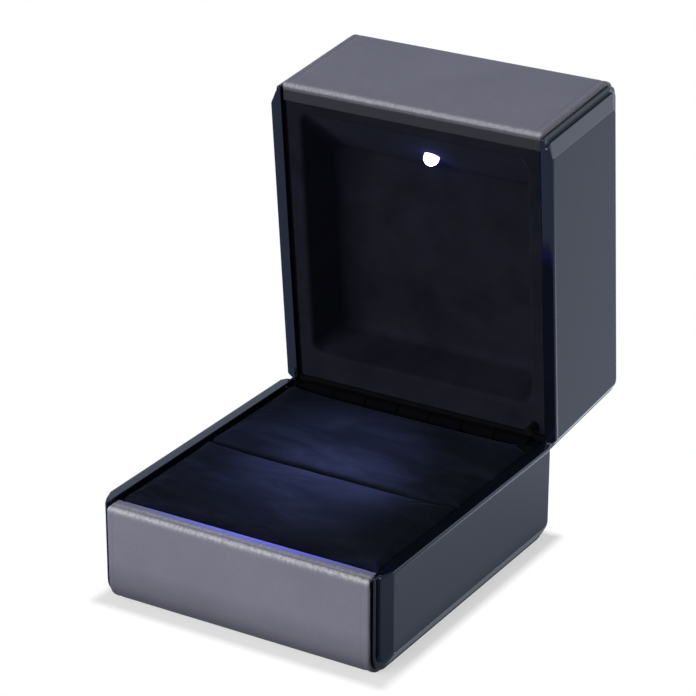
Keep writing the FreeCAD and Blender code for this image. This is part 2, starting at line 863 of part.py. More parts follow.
board_left, board_left_out = board_end("-lead_spacing")
board_right, board_right_out = board_end("lead_spacing")
holder_front = "cell_shift - holder_side - wire_end_gap"
node("wire_battery_lamp", lead_wire("lamp_wire", [
    board_left,
    board_left_out,
    place("-cell_spacing / 2", holder_front + " - wire_run", wire_level),
    place("-cell_spacing / 2", holder_front, wire_level),
]), lid=True)
node("wire_battery_switch", lead_wire("cell_wire", [
    place("holder_half + wire_end_gap", "cell_shift", wire_level),
    place(inner_switch, "cell_shift", wire_level),
    place(inner_switch, switch_line, wire_level),
    place(inner_switch, switch_line, switch_top),
]), lid=True)
node("wire_switch_lamp", lead_wire("switch_wire", [
    place(outer_switch, switch_line, switch_top),
    place(outer_switch, switch_line, high_level),
    Vector(value(outer_switch), board_right_out.y, value(high_level)),
    board_right_out,
    board_right,
]), lid=True)


# Check everything, then write each sub-part to its own file

doc.recompute()
faults = [item.Name for item in doc.Objects if {"Invalid", "Error"} & set(item.State)]
faults += [item.Label for item in NODES if item.Shape.isNull() or not item.Shape.isValid()]
if faults:
    raise RuntimeError("failed: " + ", ".join(faults))

os.makedirs("parts", exist_ok=True)
for item in NODES:
    item.Shape.exportStep(f"parts/{item.Label}.step")
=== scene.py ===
"""Ring box with a lamp in its lid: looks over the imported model, in metres and in the model's frame."""
import json
import math

import bmesh
import bpy
from mathutils import Matrix, Vector, noise


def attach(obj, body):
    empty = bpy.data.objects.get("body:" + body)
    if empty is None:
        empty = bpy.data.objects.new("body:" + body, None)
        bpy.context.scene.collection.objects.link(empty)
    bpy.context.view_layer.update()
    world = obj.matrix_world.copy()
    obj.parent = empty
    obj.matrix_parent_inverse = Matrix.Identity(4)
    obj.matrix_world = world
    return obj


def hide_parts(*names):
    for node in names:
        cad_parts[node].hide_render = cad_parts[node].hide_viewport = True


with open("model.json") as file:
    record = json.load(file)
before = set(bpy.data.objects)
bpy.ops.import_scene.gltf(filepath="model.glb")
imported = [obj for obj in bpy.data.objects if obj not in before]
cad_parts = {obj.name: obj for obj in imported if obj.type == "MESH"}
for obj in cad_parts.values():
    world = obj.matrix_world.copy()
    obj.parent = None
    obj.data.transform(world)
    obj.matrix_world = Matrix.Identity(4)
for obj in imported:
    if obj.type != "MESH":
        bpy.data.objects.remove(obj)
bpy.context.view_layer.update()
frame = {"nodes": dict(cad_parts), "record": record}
scene = bpy.context.scene
scene.view_settings.view_transform = "Standard"
MM = 0.001

# Sizes of the model, in millimetres
FRONT, BACK = -33.0, 33.0
HALF_WIDTH, HALF_CORE = 30.0, 27.6
BASE_RIM, LID_RIM, LID_TOP = 20.2, 20.4, 49.5
OPEN = math.radians(84.7)
HINGE = Vector((0, 31.0, 19.1))
LID_OPEN = Matrix.Translation(HINGE) @ Matrix.Rotation(-OPEN, 4, "X") @ Matrix.Translation(-HINGE)

# The lamp, where its axis meets the lining's slanted face, how far it stands out and how far it glows
LAMP = LID_OPEN @ Vector((0, -19.9, 28.9))
LAMP_OUT = LID_OPEN.to_3x3() @ Vector((0, 1, -1)).normalized()
LAMP_PROUD, LAMP_GLOW = 1.9, 2.4


# Meshes

def to_frame(points, lid):
    """Millimetre points as metres, turned open where they belong to the lid."""
    turn = LID_OPEN if lid else Matrix.Identity(4)
    return [(turn @ Vector(p)) * MM for p in points]


def new_piece(name, mesh_data, body, look):
    """A piece from a bmesh, shaded smooth, that rides on a body."""
    mesh = bpy.data.meshes.new(name)
    bmesh.ops.recalc_face_normals(mesh_data, faces=mesh_data.faces[:])
    mesh_data.to_mesh(mesh)
    mesh_data.free()
    mesh.polygons.foreach_set("use_smooth", [True] * len(mesh.polygons))
    piece = bpy.data.objects.new(name, mesh)
    scene.collection.objects.link(piece)
    mesh.materials.append(look)
    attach(piece, body)
    return piece


def even_normals(piece):
    """Normals that follow the large faces, so that only the narrow edge bands look rounded."""
    band = piece.modifiers.new("even normals", "WEIGHTED_NORMAL")
    band.weight = 90
    band.keep_sharp = False


def loft(loops, points):
    """Skin of quads through loops of equal length, with both ends capped."""
    made = bmesh.new()
    rows = [[made.verts.new(p) for p in points(loop)] for loop in loops]
    bridge(made, rows)
    caps = [made.faces.new(rows[0]), made.faces.new(rows[-1])]
    return made, caps


def bridge(made, rows):
    """Quads between closed rows of vertices."""
    count = len(rows[0])
    for low, high in zip(rows, rows[1:]):
        for i in range(count):
            j = (i + 1) % count
            made.faces.new((low[i], low[j], high[j], high[i]))


def arc(corner, before, after, radius, steps):
    """Points of a rounded corner between two directions, given by the neighbouring corners."""
    corner, before, after = Vector(corner), Vector(before), Vector(after)
    back, on = (before - corner).normalized(), (after - corner).normalized()
    centre = corner + (back + on) * radius
    return [
        centre - on * radius * math.cos(a) - back * radius * math.sin(a)
        for a in (math.pi / 2 * i / steps for i in range(steps + 1))
    ]


# Materials

class Look:
    """A node material around one Principled shader, with coordinates that ride with the piece."""

    def __init__(self, name, **sockets):
        self.material = bpy.data.materials.new(name)
        self.material.use_nodes = True
        self.tree = self.material.node_tree
        self.shader = self.tree.nodes["Principled BSDF"]
        for socket, setting in sockets.items():
            self.shader.inputs[socket.replace("_", " ")].default_value = setting
        self.place = self.node("ShaderNodeTexCoord").outputs["Object"]

    def node(self, kind, inputs=None, **settings):
        made = self.tree.nodes.new(kind)
        for key, setting in settings.items():
            setattr(made, key, setting)
        for socket, setting in (inputs or {}).items():
            self.put(setting, made.inputs[socket])
        return made

    def put(self, source, socket):
        """A link where the source is a socket, and otherwise a plain value."""
        if isinstance(source, bpy.types.NodeSocket):
            self.tree.links.new(source, socket)
        else:
            socket.default_value = source

    def stretched(self, x, y, z):
        """Object coordinates in millimetres, scaled along each axis."""
        inputs = {"Vector": self.place, "Scale": (x / MM, y / MM, z / MM)}
        return self.node("ShaderNodeMapping", inputs).outputs["Vector"]

    def noise(self, size, detail=3.0, rough=0.55, along=(1, 1, 1), warp=0.0):
        """Noise with features of about that size in millimetres."""
        inputs = {
            "Vector": self.stretched(*along), "Scale": 1 / size, "Detail": detail,
            "Roughness": rough, "Distortion": warp,
        }
        return self.node("ShaderNodeTexNoise", inputs).outputs["Fac"]

    def cells(self, size):
        """Distance from the middle of cells of about that size in millimetres."""
        inputs = {"Vector": self.stretched(1, 1, 1), "Scale": 1 / size}
        return self.node("ShaderNodeTexVoronoi", inputs, feature="F1").outputs["Distance"]

    def ramp(self, factor, *stops):
        """Colours or grey levels along a factor, as (place, colour) pairs."""
        made = self.node("ShaderNodeValToRGB", {"Fac": factor})
        band = made.color_ramp.elements
        while len(band) < len(stops):
            band.new(0.5)
        for element, (place, colour) in zip(band, stops):
            element.position = place
            grey = isinstance(colour, (int, float))
            element.color = (colour, colour, colour, 1) if grey else (*colour, 1)
        return made.outputs["Color"]

    def mix(self, factor, first, second, blend="MIX"):
        made = self.node("ShaderNodeMix", data_type="RGBA", blend_type=blend)
        self.put(factor, made.inputs["Factor"])
        for source, socket in ((first, "A"), (second, "B")):
            source = (*source, 1) if isinstance(source, tuple) else source
            self.put(source, [i for i in made.inputs if i.name == socket and i.type == "RGBA"][0])
        return [o for o in made.outputs if o.type == "RGBA"][0]

    def sum(self, first, second, share):
        """The first value plus a share of the second."""
        inputs = {0: second, 1: share, 2: first}
        return self.node("ShaderNodeMath", inputs, operation="MULTIPLY_ADD").outputs["Value"]

    def bump(self, height, depth, strength=1.0):
        """Bump of a height map, with its full depth in millimetres."""
        inputs = {"Height": height, "Distance": depth * MM, "Strength": strength}
        self.put(self.node("ShaderNodeBump", inputs).outputs["Normal"], self.shader.inputs["Normal"])

    def colour(self, source):
        self.put(source, self.shader.inputs["Base Color"])

    def roughness(self, source):
        self.put(source, self.shader.inputs["Roughness"])


# Height above the table over which painted shade darkens the sheet, in millimetres
FOOT = 9.0


def leatherette():
    """Satin coated sheet with a fine pebbled grain.

    It is lighter along its folds, partly from wear and partly from a painted highlight, and carries painted
    shade near the table and beside the lid's lining.
    """
    look = Look("leatherette", Specular_IOR_Level=0.12, Sheen_Weight=0.03, Sheen_Roughness=0.5)
    grain = look.cells(0.34)
    fine = look.noise(0.16, 2.0)
    crease = look.noise(1.6, 4.0, 0.6, warp=0.6)
    tone = look.noise(14.0, 3.0, 0.5)
    # Mask of the folds: a smoother gloss from wear, and a pale colour that is partly wear and partly a
    # painted highlight
    wear_and_highlight = look.node("ShaderNodeAttribute", attribute_name="wear_and_highlight").outputs["Fac"]
    cloudy = look.ramp(tone, (0.3, (0.226, 0.220, 0.282)), (0.7, (0.256, 0.249, 0.318)))
    pebbled = look.mix(look.ramp(grain, (0.1, 0.0), (0.75, 0.16)), cloudy, (0.137, 0.133, 0.169))
    # Painted shade: the colour darkens towards the table
    height = look.node("ShaderNodeSeparateXYZ", {"Vector": look.place}).outputs["Z"]
    foot = look.node("ShaderNodeMapRange", {"Value": height, "From Max": FOOT * MM}).outputs["Result"]
    shaded_near_table = look.mix(1.0, pebbled, look.ramp(foot, (0.1, 0.5), (1.0, 1.0)), "MULTIPLY")
    # Painted shade: dark grey on the lid's fold beside its lining
    shade = look.node("ShaderNodeAttribute", attribute_name="shade").outputs["Fac"]
    look.colour(look.mix(wear_and_highlight, look.mix(shade, shaded_near_table, (0.020, 0.020, 0.026)), (0.56, 0.56, 0.60)))
    dull = look.ramp(look.sum(fine, crease, 0.7), (0.5, 0.36), (1.2, 0.52))
    look.roughness(look.mix(wear_and_highlight, dull, (0.26, 0.26, 0.26)))
    look.bump(look.sum(look.sum(grain, fine, 0.5), crease, 0.8), 0.04, 0.5)
    return look.material


def slate_gloss():
    """Black gloss sheet, with fine hairlines, a softer gloss where it was handled, and a painted highlight
    along some edges of its flat.
    """
    look = Look("slate_gloss", Specular_IOR_Level=0.33, Specular_Tint=(0.6, 0.7, 1.0, 1))
    cloud = look.noise(9.0, 4.0, 0.6)
    hair = look.noise(0.5, 3.0, 0.7, along=(1, 0.06, 1))
    # Painted highlight: the edge mask turns the flat's border pale
    edge = look.node("ShaderNodeAttribute", attribute_name="edge").outputs["Fac"]
    black = look.ramp(cloud, (0.3, (0.0040, 0.0050, 0.0105)), (0.7, (0.0056, 0.0070, 0.0145)))
    look.colour(look.mix(edge, black, (0.68, 0.72, 0.84)))
    look.roughness(look.ramp(look.sum(hair, cloud, 0.6), (0.5, 0.04), (1.1, 0.10)))
    look.bump(look.sum(look.noise(3.0, 2.0), hair, 0.10), 0.004, 0.5)
    return look.material


def velvet():
    """Short navy pile: brushed patches, single fibres, and a faint sheen at the edges."""
    look = Look("velvet_navy", Roughness=0.95, Specular_IOR_Level=0.02, Sheen_Weight=0.03,
                Sheen_Roughness=0.3, Sheen_Tint=(0.5, 0.55, 0.95, 1))
    patch = look.noise(6.0, 4.0, 0.6, along=(0.35, 1, 1), warp=0.8)
    fibre = look.noise(0.22, 3.0, 0.8)
    nap = look.sum(patch, fibre, 0.55)
    look.colour(look.ramp(nap, (0.5, (0.0056, 0.0066, 0.0112)), (0.78, (0.0088, 0.0105, 0.0182)),
                          (1.0, (0.0145, 0.0174, 0.0310))))
    look.bump(nap, 0.14, 0.7)
    return look.material


def moulded(name, colour, rough, grain=0.35, gloss=0.25):
    """Moulded plastic with a fine spark-eroded texture."""
    look = Look(name, Specular_IOR_Level=gloss)
    spark = look.noise(grain, 3.0, 0.6)
    flow = look.noise(7.0, 3.0)
    low, high = (tuple(c * f for c in colour) for f in (0.82, 1.18))
    look.colour(look.ramp(flow, (0.3, low), (0.7, high)))
    look.roughness(look.ramp(spark, (0.3, rough - 0.07), (0.7, rough + 0.07)))
    look.bump(spark, 0.02, 0.6)
    return look.material


def metal(name, colour, rough, along):
    """Brushed metal with hairlines along one axis and a few dull spots."""
    look = Look(name, Metallic=1.0)
    lines = look.noise(0.12, 3.0, 0.7, along=along)
    spots = look.noise(1.5, 3.0, 0.6)
    low, high = (tuple(min(c * f, 1.0) for c in colour) for f in (0.8, 1.12))
    look.colour(look.ramp(look.sum(lines, spots, 0.5), (0.5, low), (1.0, high)))
    look.roughness(look.ramp(look.sum(lines, spots, 0.8), (0.6, rough - 0.08), (1.2, rough + 0.14)))
    look.bump(lines, 0.006, 0.5)
    return look.material


def flocked():
    """Black lining with a short flock, blue where light rakes it."""
    look = Look("liner_black", Roughness=0.95, Specular_IOR_Level=0.03, Sheen_Weight=0.04,
                Sheen_Roughness=0.4, Sheen_Tint=(0.55, 0.6, 1.0, 1))
    flock = look.noise(0.18, 3.0, 0.8)
    flow = look.noise(8.0, 3.0, 0.55, along=(1, 0.5, 1))
    nap = look.sum(flow, flock, 0.5)
    look.colour(look.ramp(nap, (0.5, (0.0084, 0.0091, 0.0145)), (1.0, (0.0150, 0.0160, 0.0255))))
    look.bump(nap, 0.06, 0.6)
    return look.material


def paperboard():
    """Grey board with pressed fibres."""
    look = Look("board_grey", Specular_IOR_Level=0.2)
    fibre = look.noise(0.8, 5.0, 0.75, along=(0.3, 1, 1), warp=1.2)
    look.colour(look.ramp(fibre, (0.35, (0.19, 0.18, 0.165)), (0.65, (0.29, 0.28, 0.26))))
    look.roughness(look.ramp(fibre, (0.3, 0.75), (0.7, 0.92)))
    look.bump(fibre, 0.04, 0.6)
    return look.material


def lamp_glass():
    """Clear lamp, lit: white at the tip of the dome and violet towards its rim."""
    look = Look("lamp_glow", Roughness=0.12, Specular_IOR_Level=0.5)
    swirl = look.noise(0.8, 2.0)
    look.colour(look.ramp(swirl, (0.3, (0.80, 0.84, 0.95)), (0.7, (0.88, 0.91, 1.0))))
    tip = (LAMP + LAMP_OUT * LAMP_PROUD) * MM
    inputs = {0: look.place, 1: tip}
    off_axis = look.node("ShaderNodeVectorMath", inputs, operation="DISTANCE").outputs["Value"]
    limits = {"Value": off_axis, "From Max": LAMP_GLOW * MM}
    share = look.node("ShaderNodeMapRange", limits).outputs["Result"]
    glow = look.ramp(look.sum(share, swirl, 0.1), (0.2, (1.0, 1.0, 1.0)), (0.6, (0.36, 0.30, 1.0)),
                     (1.0, (0.22, 0.16, 0.90)))
    look.put(glow, look.shader.inputs["Emission Color"])
    look.shader.inputs["Emission Strength"].default_value = 12.0
    look.bump(swirl, 0.004, 0.4)
    return look.material


LOOKS = {
    "core_black": moulded("core_black", (0.0028, 0.0028, 0.0036), 0.7, gloss=0.06),
    "leatherette": leatherette(),
    "panel_slate": slate_gloss(),
    "velvet_navy": velvet(),
    "board_grey": paperboard(),
    "hinge_black": moulded("hinge_black", (0.0014, 0.0014, 0.0020), 0.85, 0.5, gloss=0.03),
    "hinge_steel": metal("hinge_steel", (0.30, 0.30, 0.31), 0.38, (0.05, 1, 1)),
    "liner_black": flocked(),
    "lamp_clear": lamp_glass(),
    "circuit_green": moulded("circuit_green", (0.02, 0.16, 0.06), 0.35, 0.9),
    "screw_steel": metal("screw_steel", (0.55, 0.55, 0.56), 0.32, (1, 1, 0.2)),
    "holder_black": moulded("holder_black", (0.02, 0.02, 0.02), 0.55),
    "cell_silver": metal("cell_silver", (0.72, 0.72, 0.73), 0.25, (1, 1, 0.1)),
    "contact_brass": metal("contact_brass", (0.7, 0.52, 0.22), 0.28, (0.1, 1, 1)),
    "plunger_black": moulded("plunger_black", (0.004, 0.004, 0.005), 0.6, gloss=0.05),
    "wire_black": moulded("wire_black", (0.02, 0.02, 0.02), 0.45, 0.6),
    "wire_red": moulded("wire_red", (0.45, 0.02, 0.02), 0.45, 0.6),
}
for row in frame["record"]["subparts"]:
    mesh = frame["nodes"][row["node"]].data
    mesh.materials.clear()
    mesh.materials.append(LOOKS[row["material_slot"]])


# The two halves: heights count from the outer end, floor or roof, towards the rim

RIM_DROP = 0.5


class Half:
    """Base or lid: where it ends, its direction from there to the rim, and the sizes that differ."""

    def __init__(self, name, end, up, rim, **sizes):
        self.name = name
        self.end = end
        self.up = up
        self.rim = rim
        self.is_lid = up < 0
        self.top = rim - RIM_DROP
        self.radius = sizes["radius"]
        self.end_wall = sizes["end_wall"]
        self.back_end = sizes["back_end"]
        self.groove = sizes["groove"]
        self.rim_corner = sizes["rim_corner"]
        self.bead_wear_and_highlight = sizes["bead_wear_and_highlight"]
        self.strip_wear_and_highlight = sizes["strip_wear_and_highlight"]
        self.fold_shade = sizes["fold_shade"]

    def place(self, x, y, height):
        return x, y, self.end + self.up * height


BASE = Half(
    "base", 0.0, 1, BASE_RIM,
    radius=4.4, end_wall=3.0, back_end=16.3, groove=0.3, rim_corner=0.7,
    bead_wear_and_highlight=1.0, strip_wear_and_highlight=0.58, fold_shade=0.0,
)
LID = Half(
    "lid", LID_TOP, -1, LID_TOP - LID_RIM,
    radius=3.0, end_wall=1.4, back_end=LID_TOP - LID_RIM - RIM_DROP, groove=0.06, rim_corner=1.4,
    bead_wear_and_highlight=0.52, strip_wear_and_highlight=0.0, fold_shade=0.94,
)


# Leatherette sheets, each folded over the front rim and tucked down behind it

WRAP = 0.7
TUCK, TUCK_END, TUCK_CUT = 3.0, 27.0, 0.02
ROOM_FRONT, FOLD_BACK = -30.0, -29.3
SHEET_END, FOLD_END = 27.6, 27.45
FOLD_ROUND, BEAD_ROUND, END_ROUND = 0.4, 0.75, 0.4
GROOVE_AT, GROOVE_DEPTH, GROOVE_WIDTH = 1.35, 0.09, 0.22
CREASE_Y, CREASE_DEPTH, CREASE_WIDTH = -31.9, 0.14, 0.16
CREASE_WAVE, WAVE_ALONG, WAVE_AT = 0.12, 0.5, 3.0
# The bead and the strip behind the crease are painted lighter: partly wear, partly a painted highlight
BEAD_IN, BEAD_REACH, BEAD_WEAR_AND_HIGHLIGHT, BEAD_DEPTH, BEAD_LEAST = 0.22, 0.55, 0.6, 0.07, 0.6
STRIP_IN, STRIP_WEAR_AND_HIGHLIGHT = 0.6, 0.45
# Painted shade on the lid's fold: where it begins behind the front edge and how far it runs in
SHADE_FROM, SHADE_RUN = 0.45, 1.1
NEAR_FOLD, NEAR_FACE = 0.1, 0.01

# Noise over the sheets: places per millimetre along and across the box, and fractal settings
CRINKLE_ALONG, CRINKLE_ACROSS, WEAR_AND_HIGHLIGHT_ACROSS = 3.4, 1.5, 1.2
WEAR_AND_HIGHLIGHT_LEAST, WEAR_AND_HIGHLIGHT_SPREAD = 0.85, 0.7
SWELL_ALONG, SWELL_ACROSS, SWELL_AT, SWELL_DEPTH = 0.16, 0.2, 7.0, 0.02
FRACTAL = (0.6, 2.0, 3)

# Mesh of the sheets: steps on the tuck, fold, front, floor or roof and back, and stations along the width
ARC_STEPS = 8
STRETCH_STEPS = (0.8, 0.12, 0.4, 2.0, 1.0)
WHOLE_STEP = 9.0
SIDE_STATIONS = (0.0, 0.04, 0.12, 0.25, 0.4, 0.7, 1.0, 1.15, 1.35, 1.55, 1.8)
STATION_STEP = 0.25
PROBE = 0.1


def wrap_section(half, inset):
    """Outer and inner line of the sheet, with the outer one drawn in by inset. Points are (y, height)."""
    top = half.top
    outer = [
        (FOLD_BACK - inset, top - TUCK),
        (FOLD_BACK - inset, top - inset),
        (FRONT + inset, top - inset),
        (FRONT + inset, inset),
        (BACK - inset, inset),
        (BACK - inset, half.back_end),
    ]
    radii = (FOLD_ROUND - inset, BEAD_ROUND - inset, half.radius - inset, half.radius - inset)
    line = [Vector(outer[0])]
    for i, radius in enumerate(radii, 1):
        line += arc(outer[i], outer[i - 1], outer[i + 1], radius, ARC_STEPS)
    line.append(Vector(outer[-1]))
    steps = [STRETCH_STEPS[0]]
    for step in STRETCH_STEPS[1:]:
        steps += [WHOLE_STEP] * ARC_STEPS + [step]
    inner = [
        (BACK - WRAP, half.back_end),
        (BACK - WRAP, WRAP),
        (FRONT + WRAP, WRAP),
        (FRONT + WRAP, top - WRAP),
        (ROOM_FRONT, top - WRAP),
        (ROOM_FRONT, top - TUCK),
    ]
    lining = [Vector(inner[0])]
    for i in (1, 2):
        lining += arc(inner[i], inner[i - 1], inner[i + 1], half.radius - WRAP, ARC_STEPS)
    lining += [Vector(p) for p in inner[3:]]
    return line, steps, lining


def end_inset(from_end):
    """How far the sheet's outer face draws in near its turned side edges."""
    depth = GROOVE_DEPTH * math.exp(-((from_end - GROOVE_AT) / GROOVE_WIDTH) ** 2)
    if from_end < END_ROUND:
        depth += END_ROUND - math.sqrt(END_ROUND ** 2 - (END_ROUND - from_end) ** 2)
    return depth


def sheet_stations():
    """Places of the sheet's sections along X, close together at its sides and where the tuck ends."""
    middle = SHEET_END - SIDE_STATIONS[-1]
    parts = round(2 * middle / STATION_STEP)
    stations = [-middle + 2 * middle * i / parts for i in range(1, parts)]
    for side in (-1, 1):
        stations += [side * (SHEET_END - e) for e in SIDE_STATIONS]
        stations += [side * (TUCK_END + step) for step in (-TUCK_CUT, TUCK_CUT)]
    return sorted(stations)


def wrap(half):
    """Leatherette sheet with soft turned ends, and a crinkled bead along the fold over the front rim."""
    top = half.top
    line, steps, lining = wrap_section(half, 0.0)
    drawn, _, _ = wrap_section(half, PROBE)
    counts = [max(1, round((b - a).length / s)) for a, b, s in zip(line, line[1:], steps)]

    def divided(path):
        points = [path[0]]
        for a, b, parts in zip(path, path[1:], counts):
            points += [a.lerp(b, i / parts) for i in range(1, parts + 1)]
        return points

    outer = divided(line)
    inward = [(b - a) / PROBE for a, b in zip(outer, divided(drawn))]
    bead = Vector((FRONT + BEAD_IN, top - BEAD_IN))
    strip = Vector((CREASE_Y + STRIP_IN, top))
    stations = sheet_stations()

    def drawn_in(x, p):
        """Depth of bead, swell and crease at a place of the outer face."""
        near = math.exp(-((p - bead).length / BEAD_REACH) ** 2)
        at = Vector((x * CRINKLE_ALONG, p.x * CRINKLE_ACROSS, p.y * CRINKLE_ACROSS + half.end))
        crinkle = noise.fractal(at, *FRACTAL)
        swell = noise.noise(Vector((x * SWELL_ALONG, p.x * SWELL_ACROSS, p.y * SWELL_ACROSS + SWELL_AT)))
        depth = BEAD_DEPTH * near * (BEAD_LEAST + crinkle) + SWELL_DEPTH * (0.5 + swell)
        if p.y > top - NEAR_FOLD:
            wave = CREASE_WAVE * noise.noise(Vector((x * WAVE_ALONG, half.end, WAVE_AT)))
            depth += CREASE_DEPTH * math.exp(-((p.x - CREASE_Y - wave) / CREASE_WIDTH) ** 2)
        return depth

    def section(x):
        ends = end_inset(SHEET_END - abs(x))
        points = [p + d * max(ends + drawn_in(x, p), 0.0) for p, d in zip(outer, inward)] + lining
        placed = []
        for p in points:
            folded = p.y > top - TUCK - NEAR_FOLD and FRONT + WRAP - NEAR_FACE < p.x < 0
            if folded and abs(x) > TUCK_END:
                p = Vector((p.x, max(p.y, top - WRAP)))
            at_rim = p.y > top - WRAP and p.x < 0
            share = min(max((p.x - FRONT) / WRAP, 0.0), 1.0) if folded or at_rim else 0.0
            placed.append(half.place(x * (1 + share * (FOLD_END / SHEET_END - 1)), p.x, p.y))
        return to_frame(placed, half.is_lid)

    # Mask of the lighter folds: partly wear, partly a painted highlight
    def worn_and_highlit(x, p):
        near = half.bead_wear_and_highlight * math.exp(-((p - bead).length / BEAD_WEAR_AND_HIGHLIGHT) ** 2)
        near += half.strip_wear_and_highlight * math.exp(-((p - strip).length / STRIP_WEAR_AND_HIGHLIGHT) ** 2)
        at = Vector((x * CRINKLE_ALONG, p.x * WEAR_AND_HIGHLIGHT_ACROSS, p.y * WEAR_AND_HIGHLIGHT_ACROSS))
        return min(max(near * (WEAR_AND_HIGHLIGHT_LEAST + WEAR_AND_HIGHLIGHT_SPREAD * noise.fractal(at, *FRACTAL)), 0.0), 1.0)

    # Painted shade on the fold, rising away from the front edge; only the lid uses it
    def shaded(p):
        if p.x > 0 or p.y < top - TUCK - NEAR_FOLD:
            return 0.0
        share = min(max((p.x - FRONT - SHADE_FROM) / SHADE_RUN, 0.0), 1.0)
        return half.fold_shade * share * share * (3 - 2 * share)

    made, caps = loft(stations, section)
    bmesh.ops.triangulate(made, faces=caps)
    piece = new_piece(half.name + "_leather", made, half.name, LOOKS["leatherette"])
    wear_and_highlight = piece.data.attributes.new("wear_and_highlight", "FLOAT", "POINT")
    wear_and_highlight.data.foreach_set("value", [worn_and_highlit(x, p) for x in stations for p in outer + lining])
    shade = piece.data.attributes.new("shade", "FLOAT", "POINT")
    shade.data.foreach_set("value", [shaded(p) for p in outer + lining] * len(stations))
    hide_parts(half.name + "_wrap")


# Glossy end panels, with pegs behind them that go into the core

FLANGE_X, PLATE_X = 28.4, 29.0
FLANGE_INSET, STEP_INSET, BEVEL_RUN = 0.73, 1.8, 2.8
END_RUN, BACK_RUN = 0.73, 0.55
FLANGE_CORNER, LEAST_RADIUS = 0.4, 0.5
CORNER_STEPS = 7
# How far from the outer end and from the back the flat's border gets a painted highlight
HIGHLIGHT_SIDE = 4.1
PEG_RADIUS, PEG_REACH, PEG_Y = 1.0, 27.1, 23.0
PEG_CHAMFER, PEG_SUNK, PEG_SIDES = 0.15, 0.3, 20


def outline(half, inset, rim_inset, end_radius, rim_radius):
    """Closed outline of an end panel as (y, height), with rounded corners.

    The bevel is narrower at the outer end and at the back than at the front.
    """
    bevel = max(inset - STEP_INSET, 0.0)
    low = inset - bevel + END_RUN * bevel
    back = BACK - (inset - bevel + BACK_RUN * bevel)
    high = half.rim - rim_inset
    corners = [(FRONT + inset, high), (FRONT + inset, low), (back, low), (back, high)]
    radii = (rim_radius, end_radius, end_radius, rim_radius)
    points = []
    for i, radius in enumerate(radii):
        points += arc(corners[i], corners[i - 1], corners[(i + 1) % 4], radius, CORNER_STEPS)
    return points


def add_peg(made, half, side, y, height):
    """Round peg with a chamfered end."""
    angles = [2 * math.pi * i / PEG_SIDES for i in range(PEG_SIDES)]
    circle = [(math.cos(a), math.sin(a)) for a in angles]
    profile = [
        (PEG_REACH, PEG_RADIUS - PEG_CHAMFER),
        (PEG_REACH + PEG_CHAMFER, PEG_RADIUS),
        (HALF_CORE + PEG_SUNK, PEG_RADIUS),
    ]
    rows = []
    for x, radius in profile:
        ring = [half.place(side * x, y + radius * c, height + radius * s) for c, s in circle]
        rows.append([made.verts.new(p) for p in to_frame(ring, half.is_lid)])
    bridge(made, rows)
    made.faces.new(rows[0])
    made.faces.new(rows[-1])


def end_panel(half, side):
    """Glossy end panel: flange, step, bevelled border and flat, every edge a little rounded."""
    def rounding(inset):
        return max(half.radius - inset, LEAST_RADIUS)

    flange, step = rounding(FLANGE_INSET), rounding(STEP_INSET)
    inner, border = HALF_CORE + half.groove, STEP_INSET + BEVEL_RUN
    # Each loop is x, inset, inset at the rim, corner radius at the outer end and corner radius at the rim
    loops = [
        (HALF_CORE, FLANGE_INSET + 0.5, 0.05, flange, FLANGE_CORNER),
        (inner, FLANGE_INSET + 0.5, 0.0, flange, FLANGE_CORNER),
        (inner + 0.06, FLANGE_INSET + 0.05, 0.0, flange, FLANGE_CORNER),
        (inner + 0.12, FLANGE_INSET, 0.0, flange, FLANGE_CORNER),
        (FLANGE_X - 0.14, FLANGE_INSET, 0.0, flange, FLANGE_CORNER),
        (FLANGE_X - 0.04, FLANGE_INSET + 0.04, 0.0, flange, FLANGE_CORNER),
        (FLANGE_X, FLANGE_INSET + 0.14, 0.0, flange, FLANGE_CORNER),
        (FLANGE_X, STEP_INSET - 0.05, 0.0, step, half.rim_corner),
        (FLANGE_X + 0.05, STEP_INSET, 0.0, step, half.rim_corner),
        (PLATE_X - 0.08, STEP_INSET, 0.0, step, half.rim_corner),
        (PLATE_X - 0.01, STEP_INSET + 0.03, 0.0, step, half.rim_corner),
        (PLATE_X + 0.04, STEP_INSET + 0.12, 0.0, step, half.rim_corner),
        (HALF_WIDTH - 0.26, border - 0.73, 0.0, 1.15, 0.6),
        (HALF_WIDTH - 0.17, border - 0.48, 0.05, 1.1, 0.5),
        (HALF_WIDTH - 0.10, border - 0.28, 0.22, 1.05, 0.45),
        (HALF_WIDTH - 0.03, border - 0.06, 0.55, 1.0, 0.4),
        (HALF_WIDTH, border + 0.14, 0.85, 0.95, 0.35),
    ]

    def points(loop):
        x, *sizes = loop
        return to_frame([half.place(side * x, p.x, p.y) for p in outline(half, *sizes)], half.is_lid)

    made, _ = loft(loops, points)
    # Painted highlight along the flat's border near its outer end and its back
    edge_highlight = made.verts.layers.float.new("edge")
    made.verts.ensure_lookup_table()
    edge_line = outline(half, *loops[-2][1:])
    count = len(edge_line)
    for vert, p in zip(made.verts[-2 * count:-count], edge_line):
        if p.y < HIGHLIGHT_SIDE or p.x > BACK - HIGHLIGHT_SIDE:
            vert[edge_highlight] = 1.0
    for y in (-PEG_Y, PEG_Y):
        for height in (half.rim - 4 * PEG_RADIUS, WRAP + half.end_wall + 3 * PEG_RADIUS):
            add_peg(made, half, side, y, height)
    name = "right" if side > 0 else "left"
    piece = new_piece(f"{half.name}_end_{name}", made, half.name, LOOKS["panel_slate"])
    even_normals(piece)
    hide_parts(f"{half.name}_panel_{name}")


for half in (BASE, LID):
    wrap(half)
    for side in (1, -1):
        end_panel(half, side)


# Velvet pads: a foam block under a stretched cover, swollen by simulation at ten times the size

